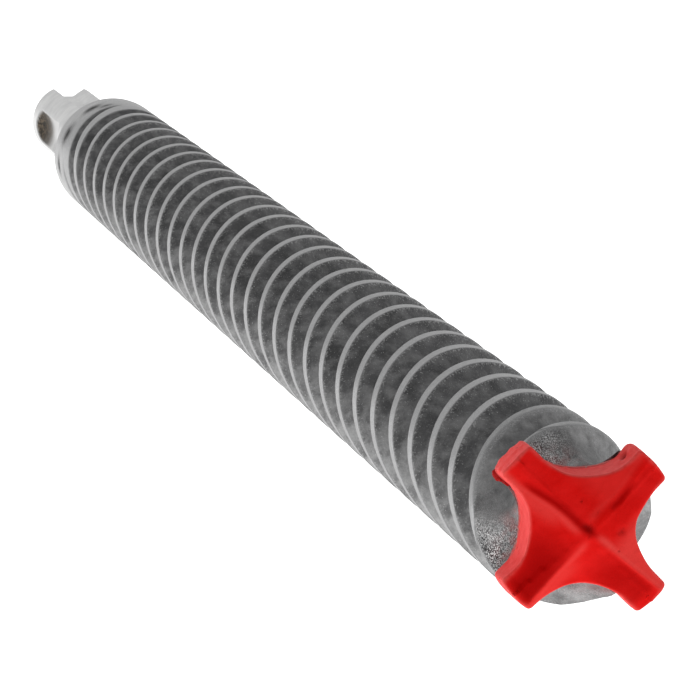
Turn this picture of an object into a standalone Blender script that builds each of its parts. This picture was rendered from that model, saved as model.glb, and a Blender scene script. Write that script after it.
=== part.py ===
"""Hammer-drill bit with a four-cutter carbide head and a slotted 10 mm quick-change shank.

The bit lies along Y with its tip towards -Y. The origin is the centre of the struck rear end face.
"s" below is the distance from that face towards the tip, so y = -s. Angles are measured from +X
towards +Z, which is right-handed about the direction of the tip, so the flutes are right-handed.
"""

import math

import bmesh
import bpy

MM = 0.001

# Shank: 10 mm quick-change pattern, open slots above and below, closed ball recesses at the sides
SHANK_R = 5.0 * MM
SHANK_LEN = 40.0 * MM
SHANK_END_CHAMFER = 0.9 * MM
SLOT_TOP_W = 4.2 * MM
SLOT_FLOOR_W = 1.6 * MM
SLOT_FLOOR_R = 3.36 * MM
SLOT_LEN = 27.0 * MM
SLOT_RUNOUT = 3.0 * MM
RECESS_BALL_R = 3.5 * MM
RECESS_DEPTH = 1.3 * MM
RECESS_START = 7.2 * MM
RECESS_END = 21.8 * MM

# Head, along the axis
CORNER_S = 294.3 * MM
HEAD_DEPTH = 3.0 * MM
HEAD_BASE_S = CORNER_S - HEAD_DEPTH
BRAZE_GAP = 0.35 * MM
STEEL_FRONT_S = HEAD_BASE_S - BRAZE_GAP

# Head, across the axis
HEAD_R_MAIN = 8.45 * MM
HEAD_R_SIDE = 7.97 * MM
WING_W = 3.35 * MM
WAIST_R = 4.45 * MM
APEX_RISE = 2.0 * MM
RIDGE_RISE = 0.45 * MM
RIDGE_OFFSETS = (0.55 * MM, 0.3 * MM, 1.2 * MM, 0.9 * MM)
RAKE_SLOPE = 0.45
RELIEF_SLOPE = 0.2
PEG_R = 2.0 * MM
PEG_LEN = 2.2 * MM
PEG_CLEARANCE = 0.15 * MM
BRAZE_CLEARANCE = 0.1 * MM

# Fluted part
CREST_R = 7.6 * MM
NECK_R = 7.1 * MM
STARTS = 4
LEAD = 32.5 * MM
LAND_HALF_DEG = 10.0
LAND_AT_FRONT_DEG = 47.9
FLUTE_DEPTH = 2.5 * MM
FLUTE_LOW_POINT = 0.68
COLLAR_LEN = 8.5 * MM
COLLAR_CHAMFER = 0.5 * MM
RUNOUT_LEN = 14.0 * MM
SCOOP_LEN = 3.4 * MM
SCOOP_WAIST_R = 4.5 * MM
SCOOP_CURVE = 1.2

# Fineness of the faceted solids
GROOVE_POINTS = 6
STATION = 2.4 * MM
FRONT_STATION = 0.8 * MM
ARC_POINTS = 6


def material(name, colour, roughness, metallic):
    made = bpy.data.materials.new(name)
    made.use_nodes = True
    shader = made.node_tree.nodes["Principled BSDF"]
    shader.inputs["Base Color"].default_value = (*colour, 1.0)
    shader.inputs["Roughness"].default_value = roughness
    shader.inputs["Metallic"].default_value = metallic
    return made


def place(name, bm, surface):
    """Turns a finished bmesh into one smooth-shaded object whose faces point out."""
    bmesh.ops.recalc_face_normals(bm, faces=bm.faces)
    mesh = bpy.data.meshes.new(name)
    bm.to_mesh(mesh)
    bm.free()
    obj = bpy.data.objects.new(name, mesh)
    bpy.context.scene.collection.objects.link(obj)
    if surface is None:
        obj.hide_render = True
        obj.display_type = "WIRE"
    else:
        mesh.materials.append(surface)
        mesh.shade_smooth()
        mesh.set_sharp_from_angle(angle=math.radians(32))
    return obj


def ring(bm, radii, angles, s):
    return [
        bm.verts.new((r * math.cos(a), -s, r * math.sin(a))) for r, a in zip(radii, angles)
    ]


def join_rings(bm, first, second):
    count = len(first)
    for i in range(count):
        j = (i + 1) % count
        bm.faces.new((first[i], first[j], second[j], second[i]))


def fan(bm, edge, s):
    """Closes a ring with a fan of triangles round a point on the axis."""
    centre = bm.verts.new((0.0, -s, 0.0))
    count = len(edge)
    for i in range(count):
        bm.faces.new((edge[i], edge[(i + 1) % count], centre))


# ---- star outline shared by the head, the braze layer and the front of the steel ----


def flank_radius(waist):
    """Radius of the concave arc that runs tangent into both neighbouring wings."""
    return (waist * math.sqrt(0.5) - WING_W / 2) / (1 - math.sqrt(0.5))


def flank(off, waist):
    """Distance from the axis to the concave side, "off" being the angle from the middle of the gap."""
    arc_r = flank_radius(waist)
    centre = waist + arc_r
    off = min(abs(off), math.radians(44.9))
    touch = centre * math.sqrt(0.5)
    touch_angle = math.pi / 4 - math.atan2(WING_W / 2, touch)
    if off <= touch_angle:
        return centre * math.cos(off) - math.sqrt(
            max(arc_r**2 - (centre * math.sin(off)) ** 2, 0.0)
        )
    return WING_W / 2 / math.sin(math.pi / 4 - off)


def star_radius(angle, main_r, side_r, waist):
    """Outline of the four wings, which stand at 45 degrees to X and Z."""
    quarter = math.pi / 2
    off = (angle + quarter / 2) % quarter - quarter / 2
    wing = math.floor(angle / quarter) % 2
    return min(main_r if wing else side_r, flank(off, waist))


def star_angles():
    """Angles of the outline: each wing's corners and ridge, then the concave side."""
    angles = []
    for quarter in range(4):
        base = quarter * math.pi / 2
        tip_r = HEAD_R_MAIN if quarter % 2 else HEAD_R_SIDE
        corner = math.asin(WING_W / 2 / tip_r)
        wing = base + math.pi / 4
        touch = flank_radius(WAIST_R) + WAIST_R
        touch_angle = math.pi / 4 - math.atan2(WING_W / 2, touch * math.sqrt(0.5))
        for i in range(ARC_POINTS + 1):
            angles.append(base + touch_angle * i / ARC_POINTS)
        angles.append(wing - corner)
        angles.append(wing - corner * 0.35)
        angles.append(wing + math.atan2(RIDGE_OFFSETS[quarter], tip_r))
        angles.append(wing + corner)
        for i in range(ARC_POINTS):
            angles.append(base + math.pi / 2 - touch_angle * (ARC_POINTS - i) / ARC_POINTS)
    return sorted(a % (2 * math.pi) for a in angles)


def roof(x, z):
    """Height of the cutting face over the plane of its corners: four ridges with a steep rake side
    on the leading edge and a gentle relief side behind it, meeting in one point."""
    best = 0.0 - HEAD_DEPTH
    for quarter in range(4):
        a = math.pi / 4 + quarter * math.pi / 2
        along = x * math.cos(a) + z * math.sin(a)
        across = -x * math.sin(a) + z * math.cos(a)
        if along < -1e-9:
            continue
        lean = across - RIDGE_OFFSETS[quarter] * min(along / HEAD_R_SIDE, 1.0)
        slope = RAKE_SLOPE if lean > 0 else RELIEF_SLOPE
        fall = (APEX_RISE - RIDGE_RISE) * along / HEAD_R_SIDE
        best = max(best, APEX_RISE - fall - slope * abs(lean))
    return best


def carbide_head(surface):
    """Solid carbide cross with a roofed cutting face and a centring peg underneath."""
    bm = bmesh.new()
    angles = star_angles()
    outline = [star_radius(a, HEAD_R_MAIN, HEAD_R_SIDE, WAIST_R) for a in angles]
    rings = []
    for share in (0.28, 0.52, 0.78, 1.0):
        made = []
        for r, a in zip(outline, angles):
            x, z = share * r * math.cos(a), share * r * math.sin(a)
            made.append(bm.verts.new((x, -(CORNER_S + roof(x, z)), z)))
        rings.append(made)
    fan(bm, rings[0], CORNER_S + APEX_RISE)
    for first, second in zip(rings, rings[1:]):
        join_rings(bm, first, second)
    base = ring(bm, outline, angles, HEAD_BASE_S)
    join_rings(bm, rings[-1], base)
    rim = ring(bm, [PEG_R] * len(angles), angles, HEAD_BASE_S)
    join_rings(bm, base, rim)
    foot = ring(bm, [PEG_R] * len(angles), angles, HEAD_BASE_S - PEG_LEN)
    join_rings(bm, rim, foot)
    fan(bm, foot, HEAD_BASE_S - PEG_LEN)
    return place("carbide_head", bm, surface)


def braze_layer(surface):
    """Thin layer of braze between the head and the steel, open in the middle for the peg."""
    bm = bmesh.new()
    angles = star_angles()
    main, side = HEAD_R_MAIN - 0.5 * MM, HEAD_R_SIDE - 0.5 * MM
    outline = [star_radius(a, main, side, WAIST_R - 0.05 * MM) for a in angles]
    hole = [PEG_R + PEG_CLEARANCE] * len(angles)
    front = HEAD_BASE_S - BRAZE_CLEARANCE
    back = STEEL_FRONT_S + BRAZE_CLEARANCE
    around = [
        ring(bm, outline, angles, front),
        ring(bm, hole, angles, front),
        ring(bm, hole, angles, back),
        ring(bm, outline, angles, back),
    ]
    for i in range(4):
        join_rings(bm, around[i], around[(i + 1) % 4])
    return place("braze_layer", bm, surface)


# ---- steel body ----


def land_angle(s):
    """Angle of one land's centre line at distance s."""
    return math.radians(LAND_AT_FRONT_DEG) + 2 * math.pi * (s - STEEL_FRONT_S) / LEAD


def groove_depth(u):
    """Depth of the flute, u running from the front edge of one land to the back of the next one
    towards the tip: a gentle concave slope, then a steep wall."""
    if u < FLUTE_LOW_POINT:
        return FLUTE_DEPTH * (1 - (1 - u / FLUTE_LOW_POINT) ** 2)
    return FLUTE_DEPTH * (1 - ((u - FLUTE_LOW_POINT) / (1 - FLUTE_LOW_POINT)) ** 3)


def local_angles():
    """Offsets from a land's centre: its two edges, its middle, then points across the flute."""
    pitch = 2 * math.pi / STARTS
    half = math.radians(LAND_HALF_DEG)
    groove = pitch - 2 * half
    offsets = []
    for start in range(STARTS):
        base = start * pitch
        offsets += [base - half, base, base + half]
        offsets += [
            base + half + groove * (i + 1) / (GROOVE_POINTS + 1) for i in range(GROOVE_POINTS)
        ]
    return offsets


def helix_radius(offset, s):
    """Radius of the fluted part, with the flutes fading out at the collar."""
    pitch = 2 * math.pi / STARTS
    half = math.radians(LAND_HALF_DEG)
    back = offset % pitch
    if back <= half + 1e-9 or back >= pitch - half - 1e-9:
        return CREST_R
    u = 1 - (back - half) / (pitch - 2 * half)
    fade = (SHANK_LEN + COLLAR_LEN + RUNOUT_LEN - s) / RUNOUT_LEN
    lift = FLUTE_DEPTH * min(max(fade, 0.0), 1.0) ** 1.2
    return min(CREST_R, CREST_R - groove_depth(u) + lift)


def scoop_radius(angle, s):
    """The flutes open between the wings: a concave scoop that climbs back to the first lands."""
    back = (STEEL_FRONT_S - s) / SCOOP_LEN
    if back >= 1.0:
        return CREST_R
    waist = SCOOP_WAIST_R + (CREST_R - SCOOP_WAIST_R) * back**SCOOP_CURVE
    pad = NECK_R + (CREST_R - NECK_R) * min(back * 2, 1.0)
    if waist >= pad:
        return pad
    return star_radius(angle, pad, pad, waist)


def stations():
    """Distances of the rings along the fluted part, closer together behind the head."""
    first = SHANK_LEN + COLLAR_CHAMFER
    last = STEEL_FRONT_S - SCOOP_LEN - 1.0 * MM
    steps = round((last - first) / STATION)
    found = [first + (last - first) * i / steps for i in range(steps)]
    steps = round((STEEL_FRONT_S - last) / FRONT_STATION)
    return found + [last + (STEEL_FRONT_S - last) * i / steps for i in range(steps + 1)]


def steel_body(surface):
    """One bar of steel: shank, collar, four flutes and the seat for the head's peg."""
    bm = bmesh.new()
    offsets = local_angles()
    count = len(offsets)
    still = [land_angle(SHANK_LEN + COLLAR_CHAMFER) + o for o in offsets]
    rings = []
    for r, s in (
        (SHANK_R - SHANK_END_CHAMFER, 0.0),
        (SHANK_R, SHANK_END_CHAMFER),
        (SHANK_R, SHANK_LEN * 0.33),
        (SHANK_R, SHANK_LEN * 0.67),
        (SHANK_R, SHANK_LEN),
        (CREST_R - COLLAR_CHAMFER, SHANK_LEN),
    ):
        rings.append(ring(bm, [r] * count, still, s))
    for s in stations():
        angles = [land_angle(s) + o for o in offsets]
        radii = [min(helix_radius(o, s), scoop_radius(a, s)) for o, a in zip(offsets, angles)]
        rings.append(ring(bm, radii, angles, s))
    seat = PEG_R + PEG_CLEARANCE
    front = [land_angle(STEEL_FRONT_S) + o for o in offsets]
    rings.append(ring(bm, [seat] * count, front, STEEL_FRONT_S))
    floor_s = HEAD_BASE_S - PEG_LEN - 2 * PEG_CLEARANCE
    rings.append(ring(bm, [seat] * count, front, floor_s))
    fan(bm, rings[0], 0.0)
    for first, second in zip(rings, rings[1:]):
        join_rings(bm, first, second)
    fan(bm, rings[-1], floor_s)
    return place("steel_body", bm, surface)


def slot_cutter(name, side):
    """Wedge-section cutter for one open drive slot, running out past the rear end."""
    bm = bmesh.new()
    top = SHANK_R + 1.0 * MM
    mouth_h = math.sqrt(SHANK_R**2 - (SLOT_TOP_W / 2) ** 2)
    spread = (SLOT_TOP_W - SLOT_FLOOR_W) / 2 / (mouth_h - SLOT_FLOOR_R)
    sections = []
    for s, floor_r in (
        (-2.0 * MM, SLOT_FLOOR_R),
        (SLOT_LEN - SLOT_RUNOUT, SLOT_FLOOR_R),
        (SLOT_LEN, SLOT_FLOOR_R + 0.75 * (SHANK_R - SLOT_FLOOR_R)),
        (SLOT_LEN + 1.2 * MM, SHANK_R + 0.4 * MM),
    ):
        low = SLOT_FLOOR_W / 2 + spread * (floor_r - SLOT_FLOOR_R)
        high = SLOT_FLOOR_W / 2 + spread * (top - SLOT_FLOOR_R)
        corners = ((-low, floor_r), (low, floor_r), (high, top), (-high, top))
        sections.append([bm.verts.new((x, -s, side * z)) for x, z in corners])
    for first, second in zip(sections, sections[1:]):
        join_rings(bm, first, second)
    bm.faces.new(sections[0])
    bm.faces.new(list(reversed(sections[-1])))
    return place(name, bm, None)


def recess_cutter(name, side):
    """Ball-ended cutter for one closed locking recess."""
    bm = bmesh.new()
    centre_x = side * (SHANK_R + RECESS_BALL_R - RECESS_DEPTH)
    segments = 28
    profile = []
    for i in range(1, 7):
        turn = math.pi / 2 * i / 6
        profile.append((math.sin(turn), RECESS_START - RECESS_BALL_R * math.cos(turn)))
    for i in range(6, 0, -1):
        turn = math.pi / 2 * i / 6
        profile.append((math.sin(turn), RECESS_END + RECESS_BALL_R * math.cos(turn)))
    rings = []
    for share, s in profile:
        made = []
        for j in range(segments):
            a = 2 * math.pi * (j + 0.5) / segments
            x = centre_x + RECESS_BALL_R * share * math.cos(a)
            made.append(bm.verts.new((x, -s, RECESS_BALL_R * share * math.sin(a))))
        rings.append(made)
    for first, second in zip(rings, rings[1:]):
        join_rings(bm, first, second)
    for edge, s in (
        (rings[0], RECESS_START - RECESS_BALL_R),
        (rings[-1], RECESS_END + RECESS_BALL_R),
    ):
        tip = bm.verts.new((centre_x, -s, 0.0))
        for j in range(segments):
            bm.faces.new((edge[j], edge[(j + 1) % segments], tip))
    return place(name, bm, None)


def cut(obj, cutter):
    modifier = obj.modifiers.new(cutter.name, "BOOLEAN")
    modifier.operation = "DIFFERENCE"
    modifier.solver = "EXACT"
    modifier.object = cutter


def main():
    for obj in list(bpy.data.objects):
        bpy.data.objects.remove(obj, do_unlink=True)
    steel = material("blasted_steel", (0.20, 0.20, 0.205), 0.42, 1.0)
    red = material("red_coating", (0.58, 0.008, 0.008), 0.45, 0.0)
    brass = material("braze", (0.62, 0.42, 0.16), 0.4, 1.0)
    body = steel_body(steel)
    cut(body, slot_cutter("slot_top", 1))
    cut(body, slot_cutter("slot_bottom", -1))
    cut(body, recess_cutter("recess_right", 1))
    cut(body, recess_cutter("recess_left", -1))
    braze_layer(brass)
    carbide_head(red)


main()
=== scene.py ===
"""Looks of a hammer drill bit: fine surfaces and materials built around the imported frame.

Lengths inside the shape functions are in millimetres. "s" is the distance from the struck rear face
towards the tip, so y = -s, and angles run from +X towards +Z. The head's four wings are numbered in
that sense: 0 points to +X and +Z, 1 to -X and +Z, 2 to -X and -Z, 3 to +X and -Z.
"""

import math

import bmesh
import bpy
import numpy as np
from mathutils import Matrix, Vector, noise


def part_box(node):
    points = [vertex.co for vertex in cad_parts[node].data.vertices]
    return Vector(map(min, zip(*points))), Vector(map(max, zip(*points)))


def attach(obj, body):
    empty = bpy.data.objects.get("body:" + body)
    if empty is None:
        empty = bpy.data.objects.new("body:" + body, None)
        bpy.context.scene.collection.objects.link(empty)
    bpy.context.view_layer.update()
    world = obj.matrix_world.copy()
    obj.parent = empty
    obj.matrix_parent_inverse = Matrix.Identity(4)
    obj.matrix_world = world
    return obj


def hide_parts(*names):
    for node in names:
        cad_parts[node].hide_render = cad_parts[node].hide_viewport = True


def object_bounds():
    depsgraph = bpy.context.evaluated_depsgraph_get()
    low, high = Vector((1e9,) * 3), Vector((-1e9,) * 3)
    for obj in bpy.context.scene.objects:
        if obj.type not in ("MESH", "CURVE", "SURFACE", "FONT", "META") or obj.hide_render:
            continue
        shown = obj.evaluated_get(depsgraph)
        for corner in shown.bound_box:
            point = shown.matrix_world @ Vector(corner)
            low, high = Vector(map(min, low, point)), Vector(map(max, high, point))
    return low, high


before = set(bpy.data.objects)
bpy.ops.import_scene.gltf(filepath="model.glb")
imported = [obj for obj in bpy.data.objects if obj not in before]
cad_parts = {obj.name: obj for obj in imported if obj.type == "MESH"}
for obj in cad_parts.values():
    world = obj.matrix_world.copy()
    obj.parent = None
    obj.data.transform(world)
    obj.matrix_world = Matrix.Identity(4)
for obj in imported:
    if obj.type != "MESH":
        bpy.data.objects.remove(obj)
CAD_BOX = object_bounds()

MM = 0.001
FAR = 99.0  # a radius outside the whole bit, where nothing is cut away

# ---- sizes, in mm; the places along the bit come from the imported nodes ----
APEX_RISE = 2.0
HEAD_DEPTH = 3.0
TIP_S = -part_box("carbide_head")[0][1] / MM
CORNER_S = TIP_S - APEX_RISE
BASE_S = CORNER_S - HEAD_DEPTH
FRONT_S = -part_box("steel_body")[0][1] / MM
PEG_END_S = -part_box("carbide_head")[1][1] / MM

HEAD_R_MAIN, HEAD_R_SIDE = 8.45, 7.97
WING_W, WING_CORNER_R = 3.35, 0.38
WAIST_R = 4.45
RIDGE_RISE = 0.45
RIDGE_OFFSETS = (0.55, 0.3, 1.2, 0.9)
RIDGE_SOFTNESS = 0.16
RAKE_SLOPE, RELIEF_SLOPE = 0.45, 0.2
FACE_EDGE_R, DISH_DEPTH = 0.21, 0.30
PEG_R, PEG_CLEARANCE = 2.0, 0.15
HEAD_SHIFT, HEAD_TURN = (0.12, 0.12), 1.9
WAIST_SHIFT = (-0.26, 0.13)

CREST_R, NECK_R = 7.6, 7.1
LEAD = 32.5
LAND_HALF = 10.0
LAND_AT_FRONT = 47.9
LAND_EDGE_R, WORN_EDGE_R = 0.10, 0.55
FLUTE_DEPTH, FLUTE_LOW = 2.5, 0.68
COLLAR_LEN, RUNOUT_LEN, RUNOUT_CURVE = 8.5, 14.0, 1.2
SCOOP_LEN, SCOOP_WAIST_R, SCOOP_CURVE, SCOOP_BLEND = 3.4, 4.5, 1.2, 0.2

SHANK_R, SHANK_LEN, END_CHAMFER = 5.0, 40.0, 0.9
SLOT_TOP_W, SLOT_FLOOR_W, SLOT_FLOOR_R, SLOT_LEN, SLOT_RUNOUT = 4.2, 1.6, 3.36, 27.0, 3.0
BALL_R, RECESS_DEPTH, RECESS_START, RECESS_END = 3.5, 1.3, 7.2, 21.8
CUT_BLEND = 0.12  # rounding at the edges of the slots and recesses
SHANK_CUTS_END = SHANK_LEN - 2.0  # the slots and recesses lie before this
SHOULDER_END = SHANK_LEN + 0.8  # the collar has its full radius after this
# (s, radius) up the rounded step from the shank to the collar.
SHOULDER = (
    (39.97, 5.04),
    (40.0, 5.15),
    (40.0, 6.2),
    (40.0, 7.0),
    (40.03, 7.14),
    (40.12, 7.3),
    (40.3, 7.45),
    (40.55, 7.56),
    (SHOULDER_END, CREST_R),
)

# ---- mesh density ----
BODY_COLUMNS = 176
# Extra columns in each quarter: (degrees from a land's centre line, spread in degrees, weight).
COLUMN_GATHERS = ((80.0, 1.2, 7.0), (10.0, 1.2, 9.0), (17.0, 6.0, 1.5))
GATHER_LEN = 4.0
SHANK_RING_GAP, FLUTE_RING_GAP, FRONT_RINGS = 0.28, 0.52, 44
FACE_SHARES = (0, 0.012, 0.03, 0.055, 0.085, 0.12, 0.16, 0.21, 0.27, 0.34, 0.42, 0.5, 0.58)
FACE_SHARES += (0.66, 0.74, 0.82, 0.89, 0.95, 1.0)
WALL_RINGS = 18

# ---- marks that the photograph shows; "turn" is an angle round the axis in degrees ----
# Dark blasting marks on the collar: (s, turn, half length, half width in degrees).
COLLAR_MARKS = (
    (46.0, 152.0, 1.6, 10.0),
    (45.4, 117.0, 1.3, 9.0),
    (47.2, 105.0, 0.7, 6.0),
    (44.6, 186.0, 0.9, 8.0),
    (43.5, 300.0, 1.0, 12.0),
    (45.0, 20.0, 1.1, 9.0),
)
# Half width of the softly worn part of a land, in degrees.
WORN_HALF = 24.0
# Painted glints on the blasted front, strongest where light catches it: (turn, half width in
# degrees, strength) over a weak base.
GLITTER_BASE = 0.16
GLITTER = ((213.0, 23.0, 0.95), (115.0, 12.0, 0.85))
# Sides round the axis where the flutes get a painted sheen: lighter mottled patches round the
# first, a narrow lighter band round the second.
SHEEN_PATCH_TURN, SHEEN_BAND_TURN = 215.0, 224.0
# Each wing's (depth of its dished back, which also sets its painted shade; strength of the painted
# highlight on its ridge; reach of that highlight ahead of it in mm).
RELIEF = ((0.14, 0.3, 9.0), (0.0, 0.7, 0.8), (1.0, 0.6, 0.8), (0.55, 0.9, 9.0))
# Creases of painted shade on wings 0 and 1, each also a slight dent: (place across the wing, drift
# outwards, start along it, end along it).
CREASES = ((0.0, 0.068, 2.4, 4.2), (-0.30, 0.135, -0.6, 5.2))
# Pits in the cutting face, darkened with painted shade: (x, z, radius, depth).
PITS = (
    (-0.30, 0.58, 0.26, 0.24),
    (0.00, 0.38, 0.26, 0.26),
    (2.90, 0.30, 0.20, 0.24),
    (2.80, -0.02, 0.22, 0.32),
    (-2.05, 0.1, 0.13, 0.10),
    (0.55, 1.7, 0.16, 0.09),
    (-0.5, 2.75, 0.22, 0.08),
)
# Paint runs under wing 1, darkened with painted shade: (place along the wing, place across it, s,
# radius, stretch of x, y, z).
PAINT_RUNS = (
    (7.55, 1.72, BASE_S - 0.10, 0.62, (1.0, 0.8, 0.75)),
    (6.75, 1.66, BASE_S - 0.25, 0.42, (1.2, 0.8, 0.7)),
)

# ---- camera, as a fit to the photograph found it ----
CAMERA_AT = (-99.50, -683.76, 79.03)
HEADING, DIP, ROLL = math.radians(11.577), math.radians(9.107), math.radians(1.028)
FOCAL_PX, PICTURE_PX, SENSOR_W = 5000.0, 700.0, 36.0


# ---- helpers ----


def smin(a, b, k):
    """The smaller of two, with the join rounded over a width of k."""
    h = np.clip(0.5 + 0.5 * (b - a) / k, 0.0, 1.0)
    return b * (1 - h) + a * h - k * h * (1 - h)


def smax(a, b, k):
    return -smin(-a, -b, k)


def step(x):
    """A smooth rise from 0 to 1 as x goes from 0 to 1."""
    x = np.clip(x, 0.0, 1.0)
    return x * x * (3 - 2 * x)


def bell(x, width, power=2):
    """1 where x is 0, fading out beyond the width; a higher power has a flatter top."""
    return np.exp(-((x / width) ** power))


def degrees_from(turn, angle):
    """Degrees between an angle and a place round the axis, from -180 to 180."""
    return (np.degrees(angle) - turn + 180.0) % 360.0 - 180.0


def facing(turn, angle):
    """1 on the side that faces a place round the axis, 0 on the far side."""
    return 0.5 + 0.5 * np.cos(angle - math.radians(turn))


def lumps(points, size, seed=0.0):
    """Smooth 3D noise of about -1 to 1 at points in mm."""
    shift = Vector((seed * 7.31, seed * 3.17, seed * 5.03))
    flat = points.reshape(-1, 3) / size
    found = [noise.noise(Vector(p) + shift) for p in flat]
    return np.array(found).reshape(points.shape[:-1])


def polar(r, a, s):
    s = np.broadcast_to(s, np.shape(r))
    return np.stack([r * np.cos(a), -s, r * np.sin(a)], axis=-1)


def hold_last(values, count):
    """The same values, with the last ring's repeated for the rings added after it."""
    return {key: np.concatenate([value] + [value[-1:]] * count) for key, value in values.items()}


def grid_object(name, rings, surface, caps=(None, None), values=None, close=False):
    """A tube of rings (rings x points x 3, in mm) with its faces pointing out, its ends fanned to a
    point on the axis where caps gives its s, or its last ring joined to its first."""
    n, m = rings.shape[:2]
    points = rings.reshape(-1, 3)
    i, j = np.meshgrid(np.arange(n if close else n - 1), np.arange(m), indexing="ij")
    i, j = i.ravel(), j.ravel()
    k, t = (j + 1) % m, (i + 1) % n
    faces = np.stack([i * m + j, i * m + k, t * m + k, t * m + j], axis=-1).tolist()
    extra = []
    around = np.arange(m)
    for end, at in enumerate(caps):
        if at is None:
            continue
        centre = len(points) + len(extra)
        extra.append((0.0, -at, 0.0))
        edge = around if end == 0 else (n - 1) * m + around
        after = np.roll(edge, -1)
        pairs = (after, edge) if end == 0 else (edge, after)
        faces += np.stack([np.full(m, centre), *pairs], axis=-1).tolist()
    if extra:
        points = np.concatenate([points, np.array(extra)])
    mesh = bpy.data.meshes.new(name)
    mesh.from_pydata((points * MM).tolist(), [], faces)
    for key, value in (values or {}).items():
        spread = np.zeros(len(points), np.float32)
        spread[: n * m] = value.ravel()
        mesh.attributes.new(key, "FLOAT", "POINT").data.foreach_set("value", spread)
    mesh.validate()
    mesh.shade_smooth()
    mesh.materials.append(surface)
    obj = bpy.data.objects.new(name, mesh)
    bpy.context.scene.collection.objects.link(obj)
    return obj


# ---- node trees ----

# Socket places of the Mix node, whose number and colour sockets share their names.
NUMBER_A, NUMBER_B, NUMBER_OUT = 2, 3, 0
COLOUR_A, COLOUR_B, COLOUR_OUT = 6, 7, 2


def grey(level):
    return (level, level, level)


class Nodes:
    """Short names for building the node tree of one material or world."""

    def __init__(self, owner, coordinates="Object"):
        owner.use_nodes = True
        self.owner = owner
        self.tree = owner.node_tree
        self.place = self.add("ShaderNodeTexCoord").outputs[coordinates]

    def add(self, kind, **settings):
        node = self.tree.nodes.new(kind)
        for key, value in settings.items():
            setattr(node, key, value)
        return node

    def put(self, socket, value):
        if isinstance(value, bpy.types.NodeSocket):
            self.tree.links.new(value, socket)
        else:
            socket.default_value = value

    def shader(self, name, value):
        """Give a socket of the material's shader a value or something that varies."""
        self.put(self.tree.nodes["Principled BSDF"].inputs[name], value)

    def attribute(self, name):
        return self.add("ShaderNodeAttribute", attribute_name=name).outputs["Fac"]

    def math(self, operation, a, b):
        node = self.add("ShaderNodeMath", operation=operation)
        self.put(node.inputs[0], a)
        self.put(node.inputs[1], b)
        return node.outputs[0]

    def times(self, a, b):
        return self.math("MULTIPLY", a, b)

    def plus(self, a, b):
        return self.math("ADD", a, b)

    def without(self, share):
        return self.math("SUBTRACT", 1.0, share)

    def grain(self, size_mm, detail=2.0, rough=0.5):
        node = self.add("ShaderNodeTexNoise")
        node.inputs["Scale"].default_value = 1.0 / (size_mm * MM)
        node.inputs["Detail"].default_value = detail
        node.inputs["Roughness"].default_value = rough
        self.put(node.inputs["Vector"], self.place)
        return node.outputs["Fac"]

    def cells(self, size_mm):
        """Distance from the nearest of scattered points, in cells."""
        node = self.add("ShaderNodeTexVoronoi")
        node.inputs["Scale"].default_value = 1.0 / (size_mm * MM)
        self.put(node.inputs["Vector"], self.place)
        return node.outputs["Distance"]

    def span(self, value, low, high, to_low=0.0, to_high=1.0, kind="LINEAR"):
        """Map low..high to to_low..to_high and hold the ends."""
        node = self.add("ShaderNodeMapRange", clamp=True, interpolation_type=kind)
        self.put(node.inputs["Value"], value)
        for key, number in (
            ("From Min", low),
            ("From Max", high),
            ("To Min", to_low),
            ("To Max", to_high),
        ):
            self.put(node.inputs[key], number)
        return node.outputs["Result"]

    def blend(self, share, a, b):
        """From number a to number b."""
        node = self.add("ShaderNodeMix", data_type="FLOAT")
        self.put(node.inputs["Factor"], share)
        self.put(node.inputs[NUMBER_A], a)
        self.put(node.inputs[NUMBER_B], b)
        return node.outputs[NUMBER_OUT]

    def mix(self, share, a, b):
        """From colour a to colour b."""
        node = self.add("ShaderNodeMix", data_type="RGBA")
        self.put(node.inputs["Factor"], share)
        for socket, value in ((node.inputs[COLOUR_A], a), (node.inputs[COLOUR_B], b)):
            self.put(socket, (*value, 1.0) if isinstance(value, tuple) else value)
        return node.outputs[COLOUR_OUT]

    def bump(self, height, distance_mm, strength):
        node = self.add("ShaderNodeBump")
        node.inputs["Strength"].default_value = strength
        node.inputs["Distance"].default_value = distance_mm * MM
        self.put(node.inputs["Height"], height)
        return node.outputs["Normal"]


# ---- materials ----


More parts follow.
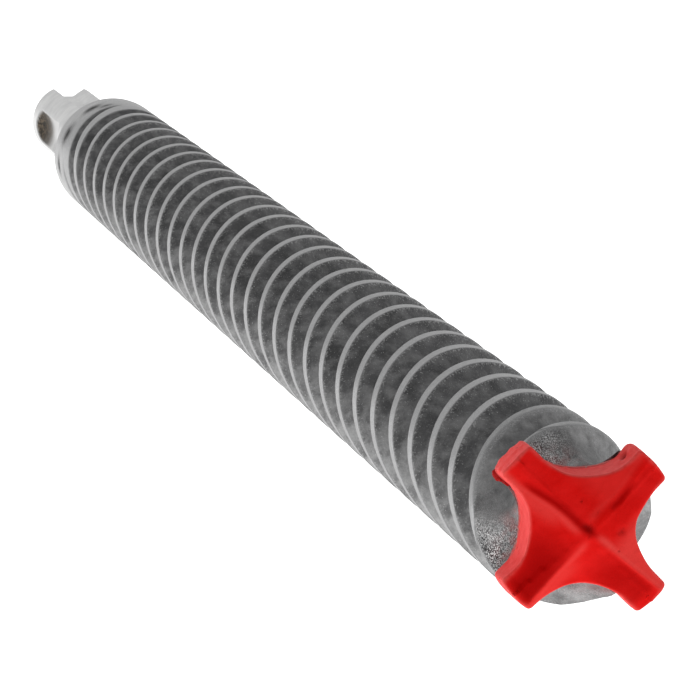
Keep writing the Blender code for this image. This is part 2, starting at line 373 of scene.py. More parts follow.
def steel_material():
    """Ground lands, shank and collar over dark shot-blasted flutes and red overspray at the head,
    with painted sheen, glints and shade.
    """
    n = Nodes(bpy.data.materials.new("blasted_steel"))
    land = n.attribute("land")
    rim = n.attribute("rim")
    near = n.attribute("near")
    spark = n.attribute("spark")
    plain = n.attribute("plain")
    soil = n.attribute("soil")
    hollow = n.attribute("hollow")
    fine = n.grain(0.10, 3.0, 0.6)
    medium = n.grain(0.32, 3.0, 0.55)
    broad = n.grain(2.6, 3.0, 0.6)
    patches = n.grain(1.9, 5.0, 0.62)

    # Flutes: dark metal; lighter mottled patches and a lighter band low on the left, both painted
    # sheen; bright specks and a beaded burr along the land edges, lit as painted glints.
    dark = n.mix(n.span(broad, 0.35, 0.68), (0.066, 0.066, 0.067), (0.110, 0.110, 0.112))
    sheen_patches = n.span(n.attribute("sheen_patches"), 0.0, 1.0, 0.25, 0.9)
    dark = n.mix(n.times(n.span(patches, 0.44, 0.66), sheen_patches), dark, grey(0.26))
    sheen_band = n.times(n.attribute("sheen_band"), n.span(patches, 0.34, 0.60, 0.25, 0.85))
    dark = n.mix(sheen_band, dark, grey(0.42))
    dark = n.mix(n.span(fine, 0.45, 0.8, 0.0, 0.3), dark, (0.20, 0.20, 0.202))
    # Painted glints: bright specks along the front edge of each land.
    glint_specks = n.span(n.cells(0.16), 0.18, 0.34, 1.0, 0.0)
    glint_specks = n.times(glint_specks, n.span(n.grain(0.2, 1.0), 0.5, 0.66))
    dark = n.mix(n.times(glint_specks, n.times(rim, 0.7)), dark, grey(0.75))
    # A beaded burr along the land edge, lit as a painted glint.
    burr_glints = n.times(n.span(rim, 0.72, 0.92), n.span(n.grain(0.2, 1.0), 0.50, 0.60, 0.0, 0.9))
    dark = n.mix(burr_glints, dark, grey(0.36))

    # Behind the head: a smoother grey haze, also laid as a painted sheen on the flutes by the worn
    # lands; shot marks with painted white glints; red dust and dark grit.
    haze = n.mix(n.span(n.grain(1.5, 4.0, 0.6), 0.36, 0.64), grey(0.155), grey(0.36))
    dark = n.mix(n.times(n.attribute("worn_and_sheen"), 0.75), dark, haze)
    dark = n.mix(n.times(near, 0.85), dark, haze)
    shots = n.span(n.cells(0.12), 0.25, 0.75, 0.75, 0.25)
    blotch = n.span(n.grain(2.2, 3.0, 0.6), 0.42, 0.62)
    coarse = n.mix(n.span(shots, 0.34, 0.60), (0.07, 0.07, 0.072), grey(0.38))
    # Near-white painted glints on part of the shot marks.
    coarse = n.mix(n.times(n.span(shots, 0.54, 0.64), blotch), coarse, grey(0.98))
    share = n.times(spark, n.span(n.grain(1.3, 3.0, 0.6), 0.34, 0.56, 0.5, 1.0))
    dark = n.mix(share, dark, coarse)
    red_patch = n.span(n.grain(1.1, 3.0, 0.6), 0.40, 0.60)
    red_share = n.times(n.attribute("dust"), n.times(red_patch, 0.5))
    dark = n.mix(red_share, dark, (0.24, 0.035, 0.03))
    grit = n.times(n.attribute("brink"), n.span(n.cells(0.13), 0.30, 0.45, 1.0, 0.0))
    dark = n.mix(grit, dark, grey(0.02))
    # A thin line of painted shade where each flute meets the back wall of the next land.
    dark = n.mix(n.attribute("rear_edge_shade"), dark, grey(0.02))

    # Lands, then the plain collar and shank with their soil, then the closed recesses in dark
    # bronze as a painted dark reflection.
    light = n.mix(n.span(fine, 0.36, 0.64), (0.19, 0.19, 0.192), (0.35, 0.35, 0.353))
    light = n.mix(n.span(patches, 0.40, 0.66, 0.0, 0.45), light, (0.22, 0.22, 0.222))
    smooth = n.mix(n.span(broad, 0.35, 0.65), grey(0.47), (0.59, 0.59, 0.585))
    colour = n.mix(plain, n.mix(land, dark, light), smooth)
    smudge = n.span(n.grain(0.9, 3.0, 0.6), 0.30, 0.55, 0.45, 0.9)
    dulled = n.times(soil, smudge)
    colour = n.mix(dulled, colour, (0.07, 0.07, 0.068))
    recess_dark_reflection = n.mix(n.span(medium, 0.42, 0.58), (0.035, 0.032, 0.028), (0.13, 0.105, 0.08))
    n.shader("Base Color", n.mix(hollow, colour, recess_dark_reflection))
    n.shader("Metallic", 1.0)
    n.shader("Specular Tint", n.mix(dulled, grey(0.9), grey(0.05)))

    ground = n.times(n.math("MAXIMUM", land, plain), n.without(hollow))
    blasted_gloss = n.span(medium, 0.3, 0.7, 0.42, 0.56)
    ground_gloss = n.span(medium, 0.3, 0.7, 0.28, 0.36)
    n.shader("Roughness", n.blend(ground, blasted_gloss, ground_gloss))
    height = n.plus(n.times(medium, 0.7), n.times(fine, 0.5))
    height = n.times(height, n.without(n.times(ground, 0.93)))
    height = n.plus(height, n.times(n.times(shots, spark), 0.55))
    n.shader("Normal", n.bump(height, 0.09, 0.9))
    return n.owner


def red_material():
    """Satin red coating over pressed carbide, with painted highlights on its edges, walls and
    ridges and painted shade in its dished backs, creases, pits and paint runs.
    """
    n = Nodes(bpy.data.materials.new("red_coating"))
    dish = n.attribute("dish")
    broad = n.grain(2.2, 3.0, 0.55)
    fine = n.grain(0.12, 3.0, 0.6)
    sheen_grain = n.grain(0.7, 3.0, 0.6)

    colour = n.mix(n.span(broad, 0.35, 0.65), (0.60, 0.004, 0.003), (0.68, 0.009, 0.008))
    # Painted highlight on the ridges and rake faces, painted shade in the dished backs and creases.
    colour = n.mix(n.attribute("ridge"), colour, (0.72, 0.050, 0.044))
    colour = n.mix(dish, colour, (0.355, 0.0004, 0.0004))
    # Painted highlights: a pale band on the rounded edges and a pale sheen over the walls.
    share = n.times(n.attribute("edge"), n.span(sheen_grain, 0.3, 0.6, 0.45, 0.9))
    colour = n.mix(share, colour, (0.73, 0.090, 0.082))
    share = n.times(n.attribute("wall"), n.span(sheen_grain, 0.3, 0.7, 0.55, 0.95))
    colour = n.mix(share, colour, (0.92, 0.105, 0.100))
    # Painted shade in the pits, the hole and the paint runs under wing 1.
    colour = n.mix(n.attribute("painted_shade_spots"), colour, (0.16, 0.004, 0.004))
    pocks = n.span(n.plus(n.cells(2.1), n.times(fine, 0.08)), 0.070, 0.105, 1.0, 0.0)
    pocks = n.times(pocks, n.without(dish))
    colour = n.mix(n.times(pocks, 0.32), colour, (0.22, 0.002, 0.002))
    colour = n.mix(n.span(fine, 0.62, 0.8, 0.0, 0.25), colour, (0.30, 0.002, 0.002))
    n.shader("Base Color", colour)
    n.shader("Roughness", n.span(broad, 0.3, 0.7, 0.42, 0.52))
    n.shader("Specular IOR Level", 0.025)

    height = n.plus(n.times(n.grain(0.5, 3.0), 0.8), n.times(fine, 0.2))
    height = n.math("SUBTRACT", height, n.times(pocks, 0.9))
    height = n.times(height, n.span(dish, 0.0, 1.0, 1.0, 0.25))
    n.shader("Normal", n.bump(height, 0.07, 0.8))
    return n.owner


def braze_material():
    """Lumpy grey-gold braze, mostly under red overspray."""
    n = Nodes(bpy.data.materials.new("braze"))
    overspray = n.span(n.grain(0.5, 3.0, 0.6), 0.30, 0.46)
    n.shader("Base Color", n.mix(overspray, (0.30, 0.27, 0.24), (0.55, 0.035, 0.03)))
    n.shader("Metallic", n.span(overspray, 0.0, 1.0, 0.9, 0.0))
    n.shader("Roughness", n.span(n.grain(0.3), 0.3, 0.7, 0.35, 0.55))
    n.shader("Normal", n.bump(n.grain(0.2, 3.0), 0.06, 0.8))
    return n.owner


# ---- steel body ----


def column_offsets(count):
    """Angles round one body, evenly spaced, and the same number gathered at the land edges."""
    fine = np.linspace(0.0, 90.0, 1801)
    weight = np.ones_like(fine)
    for edge, width, extra in COLUMN_GATHERS:
        weight += extra * bell(fine - edge, width)
    total = np.concatenate([[0.0], np.cumsum((weight[1:] + weight[:-1]) / 2)])
    per = count // 4
    gathered = np.interp(np.arange(per) / per * total[-1], total, fine)
    gathered = np.concatenate([gathered + 90.0 * q for q in range(4)])
    return np.radians(np.arange(count) * 360.0 / count), np.radians(gathered)


def twist(s):
    """Angle of one land's centre line; the shank and the shoulder don't turn."""
    held = np.maximum(s, SHANK_LEN + 0.5)
    return math.radians(LAND_AT_FRONT) + 2 * math.pi * (held - FRONT_S) / LEAD


def across_flute(offset):
    """0 at the front edge of a land, 1 at the back edge of the next one towards the tip."""
    back = np.degrees(offset) % 90.0
    return (90.0 - LAND_HALF - back) / (90.0 - 2 * LAND_HALF)


def fluted(offset, s):
    """Radius of the four flutes, deepest behind each land and running out before the collar."""
    u = across_flute(offset)
    slope = 1 - (1 - u / FLUTE_LOW) ** 2
    wall = 1 - ((u - FLUTE_LOW) / (1 - FLUTE_LOW)) ** 3
    depth = FLUTE_DEPTH * np.where(
        u < 0, 2 * u / FLUTE_LOW, np.where(u < FLUTE_LOW, slope, np.maximum(wall, -1.0))
    )
    fade = np.clip((SHANK_LEN + COLLAR_LEN + RUNOUT_LEN - s) / RUNOUT_LEN, 0.0, 1.0)
    return CREST_R - depth + FLUTE_DEPTH * fade**RUNOUT_CURVE


def star_radius(angle, tip, waist):
    """Outline with four wings at 45 degrees to X and Z and concave sides between them."""
    off = np.abs((angle + math.pi / 4) % (math.pi / 2) - math.pi / 4)
    off = np.minimum(off, math.radians(44.9))
    arc_r = (waist * math.sqrt(0.5) - WING_W / 2) / (1 - math.sqrt(0.5))
    centre = waist + arc_r
    touch = math.pi / 4 - np.arctan2(WING_W / 2, centre * math.sqrt(0.5))
    inside = np.maximum(arc_r**2 - (centre * np.sin(off)) ** 2, 0.0)
    arc = centre * np.cos(off) - np.sqrt(inside)
    side = WING_W / 2 / np.sin(math.pi / 4 - off)
    return np.minimum(tip, np.where(off <= touch, arc, side))


def scooped(angle, s):
    """Radius where the body narrows to the head's outline, just behind the head."""
    back = np.clip((FRONT_S - s) / SCOOP_LEN, 0.0, 1.0)
    waist = SCOOP_WAIST_R + (CREST_R - SCOOP_WAIST_R) * back**SCOOP_CURVE
    pad = NECK_R + (CREST_R - NECK_R) * np.minimum(back * 2, 1.0)
    return np.where(back < 1.0, star_radius(angle, pad, np.minimum(waist, pad - 0.01)), FAR)


def slot_radius(angle, s):
    """Wall and floor of the open drive slots above and below, measured from the axis."""
    ramp_extra, ramp_rise, ramp_curve, floor_edge_r = 1.2, 2.0, 1.6, 0.25
    off = np.abs((angle + math.pi) % math.pi - math.pi / 2)
    surface_h = math.sqrt(SHANK_R**2 - (SLOT_TOP_W / 2) ** 2)
    spread = (SLOT_TOP_W - SLOT_FLOOR_W) / 2 / (surface_h - SLOT_FLOOR_R)
    rise = np.clip((s - SLOT_LEN + SLOT_RUNOUT) / (SLOT_RUNOUT + ramp_extra), 0.0, None)
    floor = (SLOT_FLOOR_R + ramp_rise * rise**ramp_curve) / np.cos(np.minimum(off, 1.2))
    under = np.sin(off) - spread * np.cos(off)
    wall = (SLOT_FLOOR_W / 2 - spread * SLOT_FLOOR_R) / np.minimum(under, -1e-3)
    return np.where(under < -0.02, smax(floor, wall, floor_edge_r), FAR)


def recess_radius(angle, s):
    """Floor of the closed ball recesses at the sides."""
    off = np.abs((angle + math.pi / 2) % math.pi - math.pi / 2)
    centre = SHANK_R + BALL_R - RECESS_DEPTH
    past = np.maximum(np.maximum(RECESS_START - s, s - RECESS_END), 0.0)
    reach = np.sqrt(np.maximum(BALL_R**2 - past**2, 0.0))
    left = reach**2 - (centre * np.sin(off)) ** 2
    return np.where(left > 0, centre * np.cos(off) - np.sqrt(np.maximum(left, 0.0)), FAR)


def collar_marks(angle, s):
    """Dark blasting marks on the collar, each a soft patch drawn out round it."""
    found = np.zeros(np.broadcast(angle, s).shape)
    for at, turn, length, width in COLLAR_MARKS:
        off = degrees_from(turn, angle)
        found = np.maximum(found, np.exp(-(((s - at) / length) ** 2) - (off / width) ** 2))
    return found


def worn_lands(offset, s):
    """1 where the lands that end at wings 1 and 2 run out softly, close to the head; the flutes
    there also get a painted sheen.
    """
    behind = FRONT_S - s
    turn = np.degrees(offset) % 360.0
    upper = bell(turn - 90.0, WORN_HALF, 4) * (1 - step((behind - 6.0) / 4.0))
    lower = bell(turn - 180.0, WORN_HALF, 4) * step((behind - 3.6) / 2.0)
    return np.maximum(upper, lower * (1 - step((behind - 13.0) / 4.0)))


def sparkle(angle):
    """How strongly painted glints show on the blasted front round the axis."""
    found = np.full_like(angle, GLITTER_BASE)
    for turn, width, share in GLITTER:
        found = found + share * bell(degrees_from(turn, angle), width)
    return np.minimum(found, 1.0)


def brinks(angle):
    """Where dark grit lines the front's edge: between wings 1 and 2, and beside wing 1."""
    turn = np.degrees(angle) % 360.0
    return np.maximum(bell(turn - 205.0, 26.0, 4), 0.7 * bell(turn - 108.0, 20.0, 4))


def body_stations():
    """(s, largest radius) of every ring from the rear face to the front face."""
    end = SHANK_R - END_CHAMFER
    found = [(0.0, share * end) for share in (0.35, 0.7, 0.97)] + [(0.02, end)]
    found += [(0.02 + END_CHAMFER * t, end + END_CHAMFER * t) for t in (0.25, 0.5, 0.75, 0.95)]
    found += [(s, SHANK_R) for s in np.arange(1.05, 30.0, SHANK_RING_GAP)]
    found += [(s, SHANK_R) for s in (31.0, 33.0, 35.0, 37.0, 39.0, 39.7, 39.9)]
    found += SHOULDER
    last = FRONT_S - SCOOP_LEN - 1.0
    found += [(s, CREST_R) for s in np.arange(SHOULDER_END + 0.5, last, FLUTE_RING_GAP)]
    found += [(s, CREST_R) for s in np.linspace(last, FRONT_S, FRONT_RINGS)]
    return np.array(found)


def steel_body(surface):
    """The whole bar: shank, collar, fluted body and the seat for the head's peg."""
    stations = body_stations()
    s, limit = stations[:, :1], stations[:, 1:]
    even, gathered = column_offsets(BODY_COLUMNS)
    offset = even + (gathered - even) * step((s - SHOULDER_END) / GATHER_LEN)
    angle = twist(s) + offset
    worn_and_sheen = worn_lands(offset, s)

    flute = smin(np.full_like(angle, CREST_R), fluted(offset, s), LAND_EDGE_R + WORN_EDGE_R * worn_and_sheen)
    scoop = scooped(angle, s)
    r = np.where(s > SHOULDER_END, smin(flute, scoop, SCOOP_BLEND), limit)
    ball = recess_radius(angle, s)
    shank = smin(smin(r, slot_radius(angle, s), CUT_BLEND), ball, CUT_BLEND)
    r = np.where(s < SHANK_CUTS_END, np.minimum(shank, limit), r)

    in_flute = (s > SHOULDER_END) & (r < CREST_R - 0.06)
    places = polar(r, angle, s)
    smooth_share = 0.12
    wear = lumps(places, 1.3, 1.0) * 0.02 + lumps(places, 0.45, 2.0) * 0.018
    r = r + np.where(in_flute, wear, wear * smooth_share)
    r = np.where(s <= 1.0, np.minimum(r, limit), np.minimum(r, CREST_R))

    u = across_flute(offset)
    past_shank, behind = s - SHANK_LEN, FRONT_S - s
    crest = step((r - (CREST_R - 0.10 - 0.45 * worn_and_sheen)) / (0.09 + 0.42 * worn_and_sheen)) * (1 - 0.35 * worn_and_sheen)
    cut = step((flute - scoop + 0.9) / 1.3) * (past_shank > 0)
    near = step((2.2 * SCOOP_LEN - behind) / SCOOP_LEN) * (0.4 + 0.6 * cut) * (1 - crest)
    plain = (1 - 0.72 * step(past_shank / 0.6)) * (1 - step((past_shank - 6.5) / 2.5))
    tint = 1 - 0.92 * step((s - 9.5) / 6.0)
    values = {
        "land": np.where(past_shank > 0, crest, 0.0),
        "rim": np.where(in_flute, np.exp(-np.maximum(u, 0.0) / 0.13), 0.0),
        "near": near,
        "spark": near * sparkle(angle),
        "brink": near * bell(flute - scoop - 0.3, 0.45) * brinks(angle),
        "worn_and_sheen": worn_and_sheen * (1 - crest),
        # Painted sheen towards two sides of the flutes.
        "sheen_patches": facing(SHEEN_PATCH_TURN, angle),
        "sheen_band": facing(SHEEN_BAND_TURN, angle) ** 8 * (1 - crest),
        "dust": step(1.0 - behind / 2.6) * cut,
        # Painted shade line where the flute meets the next land's back wall.
        "rear_edge_shade": np.where(in_flute, bell(u - 0.985, 0.02), 0.0) * 0.8,
        "plain": np.broadcast_to(plain, r.shape),
        "soil": collar_marks(angle, s),
        # Where the recesses get their painted dark reflection, fading out along them.
        "hollow": np.where(s < SHANK_CUTS_END, step((SHANK_R + 0.05 - ball) / 0.3), 0.0) * tint,
    }

    seat = np.full_like(angle[-1], PEG_R + PEG_CLEARANCE)
    floor_s = PEG_END_S - PEG_CLEARANCE * 2
    inner = [polar(seat, angle[-1], FRONT_S), polar(seat, angle[-1], floor_s)]
    rings = np.concatenate([polar(r, angle, s), np.array(inner)])
    values = hold_last(values, len(inner))
    obj = grid_object("bit_steel_body", rings, surface, (0.0, floor_s), values)
    obj.data.set_sharp_from_angle(angle=math.radians(50))
    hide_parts("steel_body")
    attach(obj, "root")
    return obj


# ---- carbide head ----


def wing_angle(quarter):
    return math.pi / 4 + quarter * math.pi / 2


def wing_places(x, z, quarter):
    """Distances along and across one wing, measured towards its leading side."""
    a = wing_angle(quarter)
    return x * math.cos(a) + z * math.sin(a), -x * math.sin(a) + z * math.cos(a)


def ridge_line(along, quarter):
    """How far a wing's ridge stands off its middle, towards the leading side."""
    return RIDGE_OFFSETS[quarter] * np.clip(along / HEAD_R_SIDE, 0.0, 1.0)


def wing_side(tip_r):
    """One side of a wing, from the middle of the gap to the middle of its end: points (distance
    along the wing, distance across it), and how far along the ridge each point climbs to."""
    arc_r = (WAIST_R * math.sqrt(0.5) - WING_W / 2) / (1 - math.sqrt(0.5))
    centre = (WAIST_R + arc_r) * math.sqrt(0.5)
    turns = np.radians(np.linspace(135.0, 90.0, 23))
    points = [(centre + arc_r * math.cos(t), -centre + arc_r * math.sin(t)) for t in turns]
    low = WING_W / 2 - WING_CORNER_R
    reach = math.sqrt((tip_r - WING_CORNER_R) ** 2 - low**2)
    points += [(x, -WING_W / 2) for x in np.linspace(centre, reach, 15)[1:]]
    lean = math.atan2(-low, reach)
    for t in np.linspace(-math.pi / 2, lean, 7)[1:]:
        points.append((reach + WING_CORNER_R * math.cos(t), -low + WING_CORNER_R * math.sin(t)))
    for t in np.linspace(lean, 0.0, 10)[1:]:
        points.append((tip_r * math.cos(t), tip_r * math.sin(t)))
    points = np.array(points)
    start = WAIST_R * math.sqrt(0.5)
    climb = np.interp(points[:, 0], [start, 6.0, reach], [0.0, 5.0, tip_r - 0.9])
    return points, climb


def head_outline():
    """Outline and matching ridge points of the whole star, in mm across the axis, and how close
    each outline point is to the end of its wing, 0 to 1."""
    outline, ridge, tips = [], [], []
    for quarter in range(4):
        a = wing_angle(quarter)
        along = np.array([math.cos(a), math.sin(a)])
        across = np.array([-math.sin(a), math.cos(a)])
        side, climb = wing_side(HEAD_R_MAIN if quarter % 2 else HEAD_R_SIDE)
        wing = np.concatenate([side, side[-2:0:-1] * (1, -1)])
        climbs = np.concatenate([climb, climb[-2:0:-1]])
        lean = ridge_line(climbs, quarter)
        outline.append(wing[:, :1] * along + wing[:, 1:] * across)
        ridge.append(climbs[:, None] * along + lean[:, None] * across)
        tips.append(step((wing[:, 0] - 5.0) / 2.5))
    return np.concatenate(outline), np.concatenate(ridge), np.concatenate(tips)


def roof(x, z):
    """Height of the cutting face over its corners: four soft ridges, steep on the leading side."""
    best = np.full_like(x, -9.0)
    for quarter in range(4):
        along, across = wing_places(x, z, quarter)
        lean = across - ridge_line(along, quarter)
        slope = RELIEF_SLOPE + (RAKE_SLOPE - RELIEF_SLOPE) * step(lean / 0.3 + 0.5)
        fall = (APEX_RISE - RIDGE_RISE) * along / HEAD_R_SIDE
        drop = slope * (np.sqrt(lean**2 + RIDGE_SOFTNESS**2) - RIDGE_SOFTNESS)
        height = APEX_RISE - fall - drop
        best = smax(best, np.where(along < -0.2, height + along * 4, height), 0.12)
    return np.minimum(best, APEX_RISE + 0.02)


def seat_head(points):
    """Where the head really sits: a little off the axis, one pair of wings turned slightly, and
    its waist moved in the gaps between the wings."""
    r, a = np.hypot(points[..., 0], points[..., 2]), np.arctan2(points[..., 2], points[..., 0])
    a = a - math.radians(HEAD_TURN) * (0.5 + 0.5 * np.cos(2 * a - math.pi / 2))
    waist = np.exp(-((r - WAIST_R) ** 2)) * np.cos(2 * a) ** 2
    x = r * np.cos(a) + HEAD_SHIFT[0] + WAIST_SHIFT[0] * waist
    z = r * np.sin(a) + HEAD_SHIFT[1] + WAIST_SHIFT[1] * waist
    return np.stack([x, points[..., 1], z], axis=-1)


def relief(x, z):
    """How far each place of the cutting face lies in a dished relief side or on a ridge, 0 to 1:
    the dish sets a dent and a painted shade, the ridge a painted highlight.
    """
    dish, ridge = np.zeros_like(x), np.zeros_like(x)
    for quarter, (deep, bright, reach) in enumerate(RELIEF):
        along, across = wing_places(x, z, quarter)
        top = ridge_line(along, quarter)
        inside = step((along - 1.2) / 3.5) * (1 - step((along - HEAD_R_SIDE + 1.1) / 1.0))
        spread = WING_W / 2 + top + 1.6 * deep * (1 - step((along - 2.0) / 4.5))
        back = np.clip((top - across) / spread, 0.0, 1.0)
        if quarter < len(CREASES):
            first, drift, start, end = CREASES[quarter]
            line = first + drift * along + 0.10 * np.sin(along * 1.1 + quarter)
            crease = bell(across - line, 0.32) * (1 - step((along - end) / 2.0))
            dish = np.maximum(dish, 0.72 * crease * step((along - start) / 0.8))
            top = line + 0.38
        hollow = np.sin(math.pi * np.minimum(back**0.8, 1.0)) ** 0.6
        dish = np.maximum(dish, deep * inside * hollow)
        close = bell(across - top - 0.3, 0.30) * step((along - 0.3) / 1.0)
        ahead = step((across - top) / 0.5) * step((along - 1.5) / 2.0)
        ahead = ahead * bell(np.maximum(across - top - 0.7, 0.0), reach)
        ridge = np.maximum(ridge, bright * np.maximum(close, ahead * 0.8) * (along > 0))
    return dish, ridge


def pit_shapes(x, z):
    """Depth of the pits in the cutting face, in mm, and how much painted shade each place gets."""
    depth, painted_shade_spots = np.zeros_like(x), np.zeros_like(x)
    for pit_x, pit_z, radius, deep in PITS:
        pit = np.exp(-((x - pit_x) ** 2 + (z - pit_z) ** 2) / radius**2)
        depth = depth + deep * pit
        painted_shade_spots = np.maximum(painted_shade_spots, pit * deep * 3)
    return depth, painted_shade_spots


def cutting_face(outline, ridge, tips):
    """Rings of the cutting face from the ridges out to the edge, and the looks of each place."""
    shares = np.array(FACE_SHARES)[::-1, None]
    flat = outline + (ridge - outline) * shares[..., None]
    depth_in = np.linalg.norm(ridge - outline, axis=-1) * shares
    x, z = flat[..., 0], flat[..., 1]
    dish, crown = relief(x, z)
    inside = np.clip(FACE_EDGE_R - depth_in, 0.0, FACE_EDGE_R)
    rounding = FACE_EDGE_R - np.sqrt(FACE_EDGE_R**2 - inside**2)
    pits, painted_shade_spots = pit_shapes(x, z)
    height = roof(x, z) - DISH_DEPTH * dish - rounding - pits
    edge = bell(depth_in, 0.10 + 0.16 * tips)
    # Looks: painted highlights on the edges and ridges, painted shade in the dished backs, creases
    # and pits.
    values = {
        "edge": edge * (0.85 - 0.4 * dish),
        "wall": np.zeros_like(edge),
        "dish": np.maximum(dish**0.6 - 0.5 * crown, 0.0),
        "ridge": crown,
        "painted_shade_spots": np.minimum(painted_shade_spots * 0.5, 0.6),
    }
    return np.stack([x, -(CORNER_S + height), z], axis=-1), height[-1], values


def head_walls(outline, tips, rim):
    """Rings of the head's walls from the edge of the cutting face down to a ragged foot, with a
    paint run on wing 1, a knob and a hole on wing 0, and the looks of each place."""
    drop = np.linspace(0.0, 1.0, WALL_RINGS + 1)[1:, None]
    level = rim + (-HEAD_DEPTH - rim) * drop
    bulge = 0.07 * tips * step((drop - 0.35) / 0.12) * (1 - step((drop - 0.9) / 0.1))
    ragged = lumps(np.stack([outline[:, 0], 0 * rim, outline[:, 1]], axis=-1), 0.55, 8.0)
    bulge = bulge + step((drop - 0.72) / 0.2) * 0.16 * np.maximum(ragged, 0.0)
    swell = 1.0 + bulge / np.linalg.norm(outline, axis=-1)

    along, across = wing_places(outline[:, 0], outline[:, 1], 1)
    run = np.exp(-(((along - 7.5) / 0.75) ** 2 + ((across - 1.7) / 0.45) ** 2))
    run = run * step((drop - 0.5) / 0.25)
    along, across = wing_places(outline[:, 0], outline[:, 1], 0)
    knob = np.exp(-(((along - 7.3) / 0.8) ** 2 + ((across - 1.7) / 0.5) ** 2))
    knob = knob * step((drop - 0.25) / 0.2)
    hole = np.exp(-(((along - 6.5) / 0.28) ** 2 + ((across - 1.7) / 0.4) ** 2))
    hole = hole * bell(drop - 0.62, 0.14)

    out_1 = 0.15 * run * math.sqrt(0.5)
    out_0 = (0.22 * knob - 0.45 * hole) * math.sqrt(0.5)
    x = outline[:, 0] * swell - out_1 - out_0
    z = outline[:, 1] * swell - out_1 + out_0
    none = np.zeros_like(x)
    # Looks: a painted highlight along the top edge, a painted sheen over the walls, painted shade
    # in the paint run and the hole.
    values = {
        "edge": bell(drop, 0.08) + none,
        "wall": np.ones_like(x),
        "dish": none,
        "ridge": none,
        "painted_shade_spots": np.minimum(run * 0.8 + hole, 1.0),
    }
    return np.stack([x, -(CORNER_S + level), z], axis=-1), values


def add_paint_runs(bm):
    """Two lumps of paint that ran down under wing 1 and set there, darkened with painted shade
    under the wing and given a little of the walls' painted sheen.
    """
    painted_shade_spots, wall = bm.verts.layers.float["painted_shade_spots"], bm.verts.layers.float["wall"]
    a = wing_angle(1)
    turn = Matrix.Rotation(-a, 3, "Y")
    for along, across, s, radius, stretch in PAINT_RUNS:
        x = along * math.cos(a) - across * math.sin(a) + HEAD_SHIFT[0]
        z = along * math.sin(a) + across * math.cos(a) + HEAD_SHIFT[1]
        for vert in bmesh.ops.create_icosphere(bm, subdivisions=4, radius=1.0)["verts"]:
            uneven = noise.noise(vert.co * 1.6 + Vector((along, 0, 0)))
            shape = Vector([value * factor for value, factor in zip(vert.co, stretch)])
            vert.co = (Vector((x, -s, z)) + turn @ shape * (radius * (1 + 0.22 * uneven))) * MM
            vert[painted_shade_spots], vert[wall] = 0.75, 0.2


def carbide_head(surface):
    """The red-coated head: cutting face, walls, centring peg and two paint runs."""
    outline, ridge, tips = head_outline()
    top, rim, face_values = cutting_face(outline, ridge, tips)
    side, wall_values = head_walls(outline, tips, rim)
    values = {key: np.concatenate([face_values[key], wall_values[key]]) for key in face_values}
    rings = np.concatenate([top, side])
    soft = lumps(rings, 1.4, 3.0) * 0.05 + lumps(rings, 0.5, 4.0) * 0.025
    rings[..., 1] -= soft
    rings[len(top) :, :, ::2] *= 1 + soft[len(top) :, :, None] * 0.12

    around = np.arctan2(outline[:, 1], outline[:, 0])
    peg_r = np.full_like(around, PEG_R)
    peg = [polar(peg_r, around, BASE_S), polar(peg_r, around, PEG_END_S)]
    rings = np.concatenate([seat_head(rings), peg])[::-1]
    values = {key: value[::-1] for key, value in hold_last(values, len(peg)).items()}
    obj = grid_object("bit_carbide_head", rings, surface, (PEG_END_S, None), values)

    bm = bmesh.new()
    bm.from_mesh(obj.data)
    bmesh.ops.remove_doubles(bm, verts=bm.verts, dist=2e-6)
    add_paint_runs(bm)
    bmesh.ops.dissolve_degenerate(bm, edges=bm.edges, dist=1e-7)
    bmesh.ops.recalc_face_normals(bm, faces=bm.faces)
    bm.to_mesh(obj.data)
    bm.free()
    obj.data.shade_smooth()
    obj.data.set_sharp_from_angle(angle=math.radians(70))
    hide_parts("carbide_head")
    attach(obj, "root")
    return obj


def braze_bead(surface):
    """Uneven bead of braze and paint round the foot of the head, over the hidden layer."""
    outline, _, tips = head_outline()
    size = np.linalg.norm(outline, axis=-1)
    along = np.stack([outline[:, 0], np.full(len(outline), 3.0), outline[:, 1]], axis=-1)
    uneven = lumps(along, 0.9, 6.0)
    thick = 0.17 + 0.10 * uneven
    keep = 1 - 0.085 * tips
    rings = []
    for turn in np.radians(np.linspace(-90, 90, 9)):
        out = 1 + (thick * math.cos(turn) - 0.06) / size
        s = (BASE_S + FRONT_S) / 2 + (0.30 + 0.12 * uneven) * math.sin(turn)
        rings.append(
            np.stack([outline[:, 0] * out * keep, -s, outline[:, 1] * out * keep], axis=-1)
        )
    rings = list(seat_head(np.array(rings)))
    around = np.arctan2(outline[:, 1], outline[:, 0])
    inner = np.full_like(around, PEG_R + PEG_CLEARANCE)
    rings.append(polar(inner, around, BASE_S - 0.1))
    rings.append(polar(inner, around, FRONT_S + 0.1))
    obj = grid_object("bit_braze_bead", np.array(rings), surface, close=True)
    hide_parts("braze_layer")
    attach(obj, "root")
    return obj


# ---- stage, light and camera ----


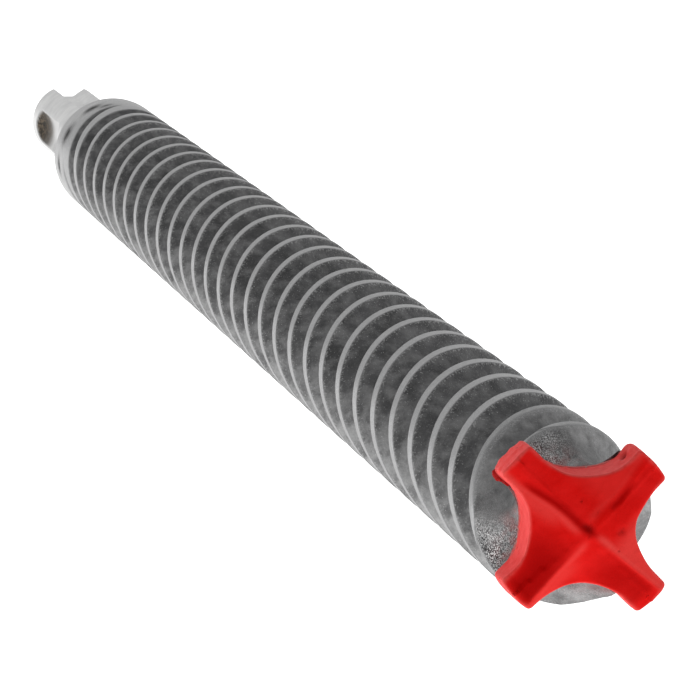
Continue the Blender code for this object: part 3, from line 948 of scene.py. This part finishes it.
def sky():
    """Plain pale studio light: bright behind the bit and along the horizon, dimmer overhead and
    darkest in front of the bit, so that the round steel gets soft light and dark sides."""
    world = bpy.data.worlds.new("studio")
    bpy.context.scene.world = world
    n = Nodes(world, "Generated")
    toward = n.add("ShaderNodeVectorMath", operation="DOT_PRODUCT")
    toward.inputs[1].default_value = Vector((-0.15, -0.97, 0.10)).normalized()
    n.put(toward.inputs[0], n.place)
    scale = n.add("ShaderNodeMath", operation="MULTIPLY_ADD")
    n.put(scale.inputs[0], toward.outputs["Value"])
    scale.inputs[1].default_value = scale.inputs[2].default_value = 0.5
    ramp = n.add("ShaderNodeValToRGB")
    ramp.color_ramp.interpolation = "B_SPLINE"
    # (place from straight behind the bit, 0, to straight in front of it, 1; brightness)
    levels = ((0.0, 1.0), (0.1, 1.0), (0.3, 1.1), (0.6, 1.35), (0.78, 0.75), (0.93, 0.08))
    while len(ramp.color_ramp.elements) < len(levels):
        ramp.color_ramp.elements.new(0.5)
    for element, (at, level) in zip(ramp.color_ramp.elements, levels):
        element.position = at
        element.color = (*grey(level), 1.0)
    n.put(ramp.inputs["Fac"], scale.outputs[0])
    split = n.add("ShaderNodeSeparateXYZ")
    n.put(split.inputs[0], n.place)
    overhead = n.span(split.outputs["Z"], 0.15, 0.75, 1.0, 0.65, "SMOOTHSTEP")
    horizon = n.span(split.outputs["Z"], 0.0, 0.14, 1.0, 0.0, "SMOOTHSTEP")
    strength = n.math("MAXIMUM", n.times(ramp.outputs["Color"], overhead), horizon)
    back = n.tree.nodes["Background"]
    n.put(back.inputs["Strength"], strength)
    back.inputs["Color"].default_value = (*grey(1.0), 1.0)


def floor():
    """Wide pale floor just under the bit, glowing so that it renders white."""
    half, z = 6.0, CAD_BOX[0][2] - 0.0002
    corners = [(-half, -half, z), (half, -half, z), (half, half, z), (-half, half, z)]
    mesh = bpy.data.meshes.new("floor")
    mesh.from_pydata(corners, [], [(0, 1, 2, 3)])
    obj = bpy.data.objects.new("floor", mesh)
    bpy.context.scene.collection.objects.link(obj)
    n = Nodes(bpy.data.materials.new("pale_floor"))
    tone = n.span(n.grain(400.0, 1.0), 0.3, 0.7, 0.24, 0.28)
    colour = n.add("ShaderNodeCombineColor")
    for socket in colour.inputs[:3]:
        n.put(socket, tone)
    n.shader("Base Color", colour.outputs[0])
    n.shader("Roughness", 0.8)
    n.shader("Specular IOR Level", 0.1)
    n.shader("Emission Color", (*grey(1.0), 1.0))
    n.shader("Emission Strength", 1.4)
    mesh.materials.append(n.owner)


def camera():
    """Long lens, nearly along the bit from in front, a little to its left and above it."""
    look = Vector(
        (
            math.sin(HEADING) * math.cos(DIP),
            math.cos(HEADING) * math.cos(DIP),
            -math.sin(DIP),
        )
    )
    right = look.cross(Vector((0, 0, 1))).normalized()
    up = right.cross(look)
    side = right * math.cos(ROLL) + up * math.sin(ROLL)
    top = up * math.cos(ROLL) - right * math.sin(ROLL)
    data = bpy.data.cameras.new("camera")
    data.sensor_width = SENSOR_W
    data.lens = FOCAL_PX / PICTURE_PX * SENSOR_W
    data.clip_start = 0.01
    data.clip_end = 50.0
    obj = bpy.data.objects.new("camera", data)
    bpy.context.scene.collection.objects.link(obj)
    turn = Matrix((side, top, -look)).transposed().to_4x4()
    obj.matrix_world = Matrix.Translation(Vector(CAMERA_AT) * MM) @ turn
    bpy.context.scene.camera = obj


camera()
steel_body(steel_material())
carbide_head(red_material())
braze_bead(braze_material())
sky()
floor()
bpy.context.scene.view_settings.view_transform = "Standard"
